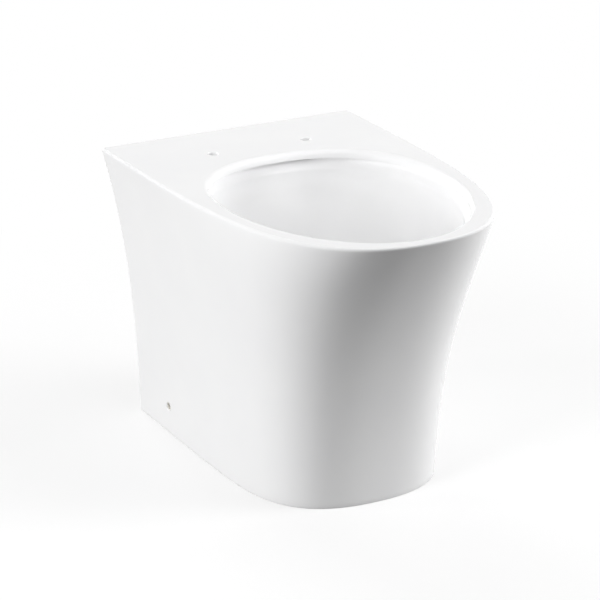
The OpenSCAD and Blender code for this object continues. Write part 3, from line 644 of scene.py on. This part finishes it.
OUTSIDE_ROWS, OUTSIDE_START = 50, 0.02
outside_top = flat_rings(JOINT_FRONT - BOWL_WALL, JOINT_SIDE + BOWL_WALL, JOINT_REAR + BOWL_WALL,
                         RIM_Z)
outside_grid = np.concatenate([
    outside_top, bowl_rings(np.linspace(OUTSIDE_START, 1, OUTSIDE_ROWS), BOWL_WALL),
    bend_rings(bends[1:], THROAT_R + BOWL_WALL, TRAP_R + TRAP_WALL),
    bend_rings([90], THROAT_R + BOWL_WALL, TRAP_R + TRAP_WALL, TRAP_Y - BEND_Y)])
make_piece("bowl_glazed", [
    sheet(hollow_grid, wrap=True, toward=IN_BOWL, rows=slice(joint_ring_row, None)),
    sheet(outside_grid, wrap=True, away=IN_BOWL),
    band(lip_grid[-1], outside_top[0], UP, wrap=True),
    band(hollow_grid[-1], outside_grid[-1], TO_WALL, wrap=True),
], glaze, "bowl")

# ---------------------------------------------------------------------------------------
# Trapway, outlet spigot and flush inlet: cast and stuck on behind the bowl, in the same
# body and glaze. They keep the shape of the source.


def finish_solids(material, *nodes):
    """Gives solids that keep the shape of the source their material."""
    for node in nodes:
        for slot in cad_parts[node].material_slots:
            slot.material = material


finish_solids(glaze, "trapway", "flush_inlet")

# ---------------------------------------------------------------------------------------
# Inlet seal: a sleeve with fins, compression moulded in black EPDM rubber with a dull skin,
# pushed into the horn by hand so that its collar seats on the mouth.

RUBBER_BLACK, RUBBER_BLOOM = "#202021", "#333334"
RUBBER_CLOUD = 0.02  # metres across a cloud of the bloom
RUBBER_GRAIN = 0.0012  # metres across the grain left by the blasted mould


def make_rubber():
    """EPDM: nearly black, with a faint grey bloom in clouds and a fine blasted grain."""
    material, tree, output = start_material("moulded_epdm_rubber")
    place = add(tree, "ShaderNodeTexCoord").outputs["Object"]
    bloom = add(tree, "ShaderNodeTexNoise", Vector=place, Scale=1 / RUBBER_CLOUD, Detail=3.0)
    colour = add(tree, "ShaderNodeMix", {"data_type": "RGBA"}, Factor=bloom.outputs["Fac"],
                 i6=linear(RUBBER_BLACK), i7=linear(RUBBER_BLOOM))
    grain = add(tree, "ShaderNodeTexNoise", Vector=place, Scale=1 / RUBBER_GRAIN, Detail=2.0)
    bump = add(tree, "ShaderNodeBump", Height=grain.outputs["Fac"], Strength=0.25, Distance=0.0001)
    gloss = add(tree, "ShaderNodeMapRange", Value=bloom.outputs["Fac"], To_Min=0.5, To_Max=0.68)
    shader = add(tree, "ShaderNodeBsdfPrincipled", Base_Color=colour.outputs[2],
                 Roughness=gloss.outputs["Result"], Normal=bump.outputs["Normal"])
    tree.links.new(shader.outputs["BSDF"], output.inputs["Surface"])
    return material


finish_solids(make_rubber(), "inlet_seal")

# ---------------------------------------------------------------------------------------
# Floor brackets: angles pressed from 3 mm steel strip and barrel plated with bright zinc.
# Two screws hold each to the floor inside the skirt.

ZINC_BRIGHT, ZINC_BLUE = "#C3C6C9", "#AEB4BC"
ZINC_PATCH = 0.014  # metres across a patch of the passivation's blue tint
ROLL_LINE = 0.0006  # metres between the lines left by the rolls
ROLL_STRETCH = 0.04  # how much slower the lines change along the strip


def make_zinc():
    """Zinc plate: bright, faintly blue in patches, with fine lines from rolling along Y."""
    material, tree, output = start_material("bright_zinc_plated_steel")
    place = add(tree, "ShaderNodeTexCoord").outputs["Object"]
    patch = add(tree, "ShaderNodeTexNoise", Vector=place, Scale=1 / ZINC_PATCH, Detail=2.0)
    colour = add(tree, "ShaderNodeMix", {"data_type": "RGBA"}, Factor=patch.outputs["Fac"],
                 i6=linear(ZINC_BRIGHT), i7=linear(ZINC_BLUE))
    drawn = add(tree, "ShaderNodeMapping", Vector=place, Scale=(1.0, ROLL_STRETCH, 1.0))
    lines = add(tree, "ShaderNodeTexNoise", Vector=drawn.outputs["Vector"], Scale=1 / ROLL_LINE,
                Detail=2.0)
    bump = add(tree, "ShaderNodeBump", Height=lines.outputs["Fac"], Strength=0.2, Distance=0.00005)
    gloss = add(tree, "ShaderNodeMapRange", Value=patch.outputs["Fac"], To_Min=0.24, To_Max=0.4)
    shader = add(tree, "ShaderNodeBsdfPrincipled", Base_Color=colour.outputs[2], Metallic=1.0,
                 Roughness=gloss.outputs["Result"], Normal=bump.outputs["Normal"])
    tree.links.new(shader.outputs["BSDF"], output.inputs["Surface"])
    return material


finish_solids(make_zinc(), "floor_bracket_left", "floor_bracket_right")

# ---------------------------------------------------------------------------------------
# Nuts and sleeves: injection moulded in natural nylon, which is milky and slightly waxy.
# The nut is pushed through the bracket, and the sleeve keeps the screw off the china.

NYLON_MILK, NYLON_DEEP = "#EFECE4", "#E8E5DB"
NYLON_CLOUD = 0.012  # metres across a cloud of the deeper tint
NYLON_SKIN = 0.0015  # metres across the soft texture of the moulded skin


def make_nylon():
    """Natural nylon: milky, a little deeper in clouds, with a soft moulded skin."""
    material, tree, output = start_material("moulded_natural_nylon")
    place = add(tree, "ShaderNodeTexCoord").outputs["Object"]
    cloud = add(tree, "ShaderNodeTexNoise", Vector=place, Scale=1 / NYLON_CLOUD, Detail=2.0)
    colour = add(tree, "ShaderNodeMix", {"data_type": "RGBA"}, Factor=cloud.outputs["Fac"],
                 i6=linear(NYLON_MILK), i7=linear(NYLON_DEEP))
    texture = add(tree, "ShaderNodeTexNoise", Vector=place, Scale=1 / NYLON_SKIN, Detail=2.0)
    bump = add(tree, "ShaderNodeBump", Height=texture.outputs["Fac"], Strength=0.15,
               Distance=0.00008)
    gloss = add(tree, "ShaderNodeMapRange", Value=cloud.outputs["Fac"], To_Min=0.36, To_Max=0.5)
    shader = add(tree, "ShaderNodeBsdfPrincipled", Base_Color=colour.outputs[2],
                 Roughness=gloss.outputs["Result"], Normal=bump.outputs["Normal"], IOR=1.53)
    tree.links.new(shader.outputs["BSDF"], output.inputs["Surface"])
    return material


finish_solids(make_nylon(), "bracket_nut_left", "bracket_nut_right", "screw_sleeve_left",
              "screw_sleeve_right")

# ---------------------------------------------------------------------------------------
# Side screws: cold headed in stainless steel, with a cross recess. One goes through each
# side of the skirt into the nut and pulls the pan down and tight.

STAINLESS_LIGHT, STAINLESS_DARK = "#B9B8B4", "#A2A19D"
TUMBLE_MARK = 0.0008  # metres across a mark left by the stones of the finishing barrel


def make_stainless():
    """Stainless steel: warm grey, with fine tumbling marks from the finishing barrel."""
    material, tree, output = start_material("tumbled_stainless_steel")
    place = add(tree, "ShaderNodeTexCoord").outputs["Object"]
    marks = add(tree, "ShaderNodeTexNoise", Vector=place, Scale=1 / TUMBLE_MARK, Detail=3.0)
    colour = add(tree, "ShaderNodeMix", {"data_type": "RGBA"}, Factor=marks.outputs["Fac"],
                 i6=linear(STAINLESS_LIGHT), i7=linear(STAINLESS_DARK))
    bump = add(tree, "ShaderNodeBump", Height=marks.outputs["Fac"], Strength=0.2, Distance=0.00004)
    gloss = add(tree, "ShaderNodeMapRange", Value=marks.outputs["Fac"], To_Min=0.25, To_Max=0.38)
    shader = add(tree, "ShaderNodeBsdfPrincipled", Base_Color=colour.outputs[2], Metallic=1.0,
                 Roughness=gloss.outputs["Result"], Normal=bump.outputs["Normal"])
    tree.links.new(shader.outputs["BSDF"], output.inputs["Surface"])
    return material


finish_solids(make_stainless(), "side_screw_left", "side_screw_right")

# ---------------------------------------------------------------------------------------
# Studio: a pale floor that turns white away from the pan, soft boxes all round and overhead,
# and a white ground that only the camera and the gloss see. All sizes are in metres.

FLOOR_PALE, WHITE = "#F4F4F4", (1.0, 1.0, 1.0, 1.0)
FLOOR_HALF = 6.0
GLOW_NEAR, GLOW_FAR = 0.4, 1.1  # from the middle, where the floor starts and ends its turn
GLOW_LEAST = 0.66  # share of white in the floor under the pan, which still shows its shadow


def seen_directly(tree):
    """1 for a ray from the camera or by way of gloss or glass, and 0 for any other."""
    path = add(tree, "ShaderNodeLightPath").outputs
    plain = add(tree, "ShaderNodeMath", {"operation": "MAXIMUM"}, i0=path["Is Camera Ray"],
                i1=path["Is Glossy Ray"])
    return add(tree, "ShaderNodeMath", {"operation": "MAXIMUM"}, i0=plain.outputs["Value"],
               i1=path["Is Transmission Ray"]).outputs["Value"]


floor_mesh = bpy.data.meshes.new("studio_floor")
floor_mesh.from_pydata([(x * FLOOR_HALF, y * FLOOR_HALF, 0)
                        for x, y in ((-1, -1), (1, -1), (1, 1), (-1, 1))], [], [(0, 1, 2, 3)])
floor = bpy.data.objects.new("studio_floor", floor_mesh)
bpy.context.scene.collection.objects.link(floor)
floor_material, tree, output = start_material("pale_matt_floor")
matt = add(tree, "ShaderNodeBsdfDiffuse", Color=linear(FLOOR_PALE))
glow = add(tree, "ShaderNodeEmission", Color=WHITE, Strength=seen_directly(tree))
reach = add(tree, "ShaderNodeVectorMath", {"operation": "LENGTH"},
            i0=add(tree, "ShaderNodeTexCoord").outputs["Object"]).outputs["Value"]
even = add(tree, "ShaderNodeMapRange", {"interpolation_type": "SMOOTHSTEP"}, Value=reach,
           From_Min=GLOW_NEAR, From_Max=GLOW_FAR, To_Min=GLOW_LEAST, To_Max=1.0)
lit = add(tree, "ShaderNodeMixShader", Fac=even.outputs["Result"], i1=matt.outputs["BSDF"],
          i2=glow.outputs["Emission"])
tree.links.new(lit.outputs["Shader"], output.inputs["Surface"])
floor_mesh.materials.append(floor_material)

world = bpy.data.worlds.new("studio")
bpy.context.scene.world = world
world.use_nodes = True
tree = world.node_tree
tree.nodes.clear()
ground = add(tree, "ShaderNodeBackground", Color=WHITE, Strength=seen_directly(tree))
add(tree, "ShaderNodeOutputWorld", Surface=ground.outputs["Background"])

# Each soft box: name, degrees round from +X, degrees above level, distance, side, watts, and
# whether the glaze mirrors it. All face the pan. Those at the sides leave the corner of the
# skirt between them dark, and the one behind lights the fixings. The photograph shows no lamp
# mirrored in the glaze, so only that one is.
SOFT_BOXES = (
    ("box_left_low", 160, 8, 3.0, 0.6, 30, False),
    ("box_left_middle", 199, 22, 3.0, 0.9, 40, False),
    ("box_left_high", 195, 40, 3.0, 0.9, 20, False),
    ("box_right_low", 341, 8, 3.0, 0.6, 33, False),
    ("box_right_middle", 330, 22, 3.0, 0.9, 42, False),
    ("box_right_high", 312, 40, 3.0, 0.9, 14, False),
    ("box_over_right", 350, 62, 3.0, 1.2, 14, False),
    ("box_over_back", 80, 62, 1.6, 1.0, 5.5, False),
    ("box_behind", 90, 12, 3.0, 1.0, 40, True),
)
LIT_POINT = Vector((0.0, 0.0, 0.2))
for name, turn, lift, far, side, power, mirrored in SOFT_BOXES:
    turn, lift = np.radians(turn), np.radians(lift)
    away = Vector((np.cos(turn) * np.cos(lift), np.sin(turn) * np.cos(lift), np.sin(lift)))
    lamp = bpy.data.lights.new(name, "AREA")
    lamp.size, lamp.energy = side, power
    box = bpy.data.objects.new(name, lamp)
    box.location = LIT_POINT + far * away
    box.rotation_euler = away.to_track_quat("Z", "Y").to_euler()
    box.visible_glossy = mirrored
    bpy.context.scene.collection.objects.link(box)

# Camera at the photograph's angle: 28.3 degrees round from the front to the left and 20.5
# degrees above level, aimed a little to the left of the middle of the pan and above it.
AZIMUTH, ELEVATION = np.radians(-28.307), np.radians(20.520)
DISTANCE, AIM, AIM_RIGHT, AIM_UP = 3.56137, (0, 0.026, 0.2), -0.017552, 0.023469
FRAME_PX, FOCAL_PX, SENSOR = 600, 2631.2, 36  # the last in millimetres
CLIP_END = 50
right = np.array([np.cos(AZIMUTH), np.sin(AZIMUTH), 0])
back = np.array([np.sin(AZIMUTH) * np.cos(ELEVATION), -np.cos(AZIMUTH) * np.cos(ELEVATION),
                 np.sin(ELEVATION)])
up = np.cross(back, right)
target = np.array(AIM) + AIM_RIGHT * right + AIM_UP * up
lens = bpy.data.cameras.new("camera")
lens.sensor_width, lens.lens = SENSOR, SENSOR * FOCAL_PX / FRAME_PX
lens.clip_end = CLIP_END
camera = bpy.data.objects.new("camera", lens)
camera.matrix_world = Matrix(np.vstack([
    np.column_stack([right, up, back, target + DISTANCE * back]), [0, 0, 0, 1]]).tolist())
bpy.context.scene.collection.objects.link(camera)
bpy.context.scene.camera = camera
bpy.context.scene.view_settings.view_transform = "Standard"
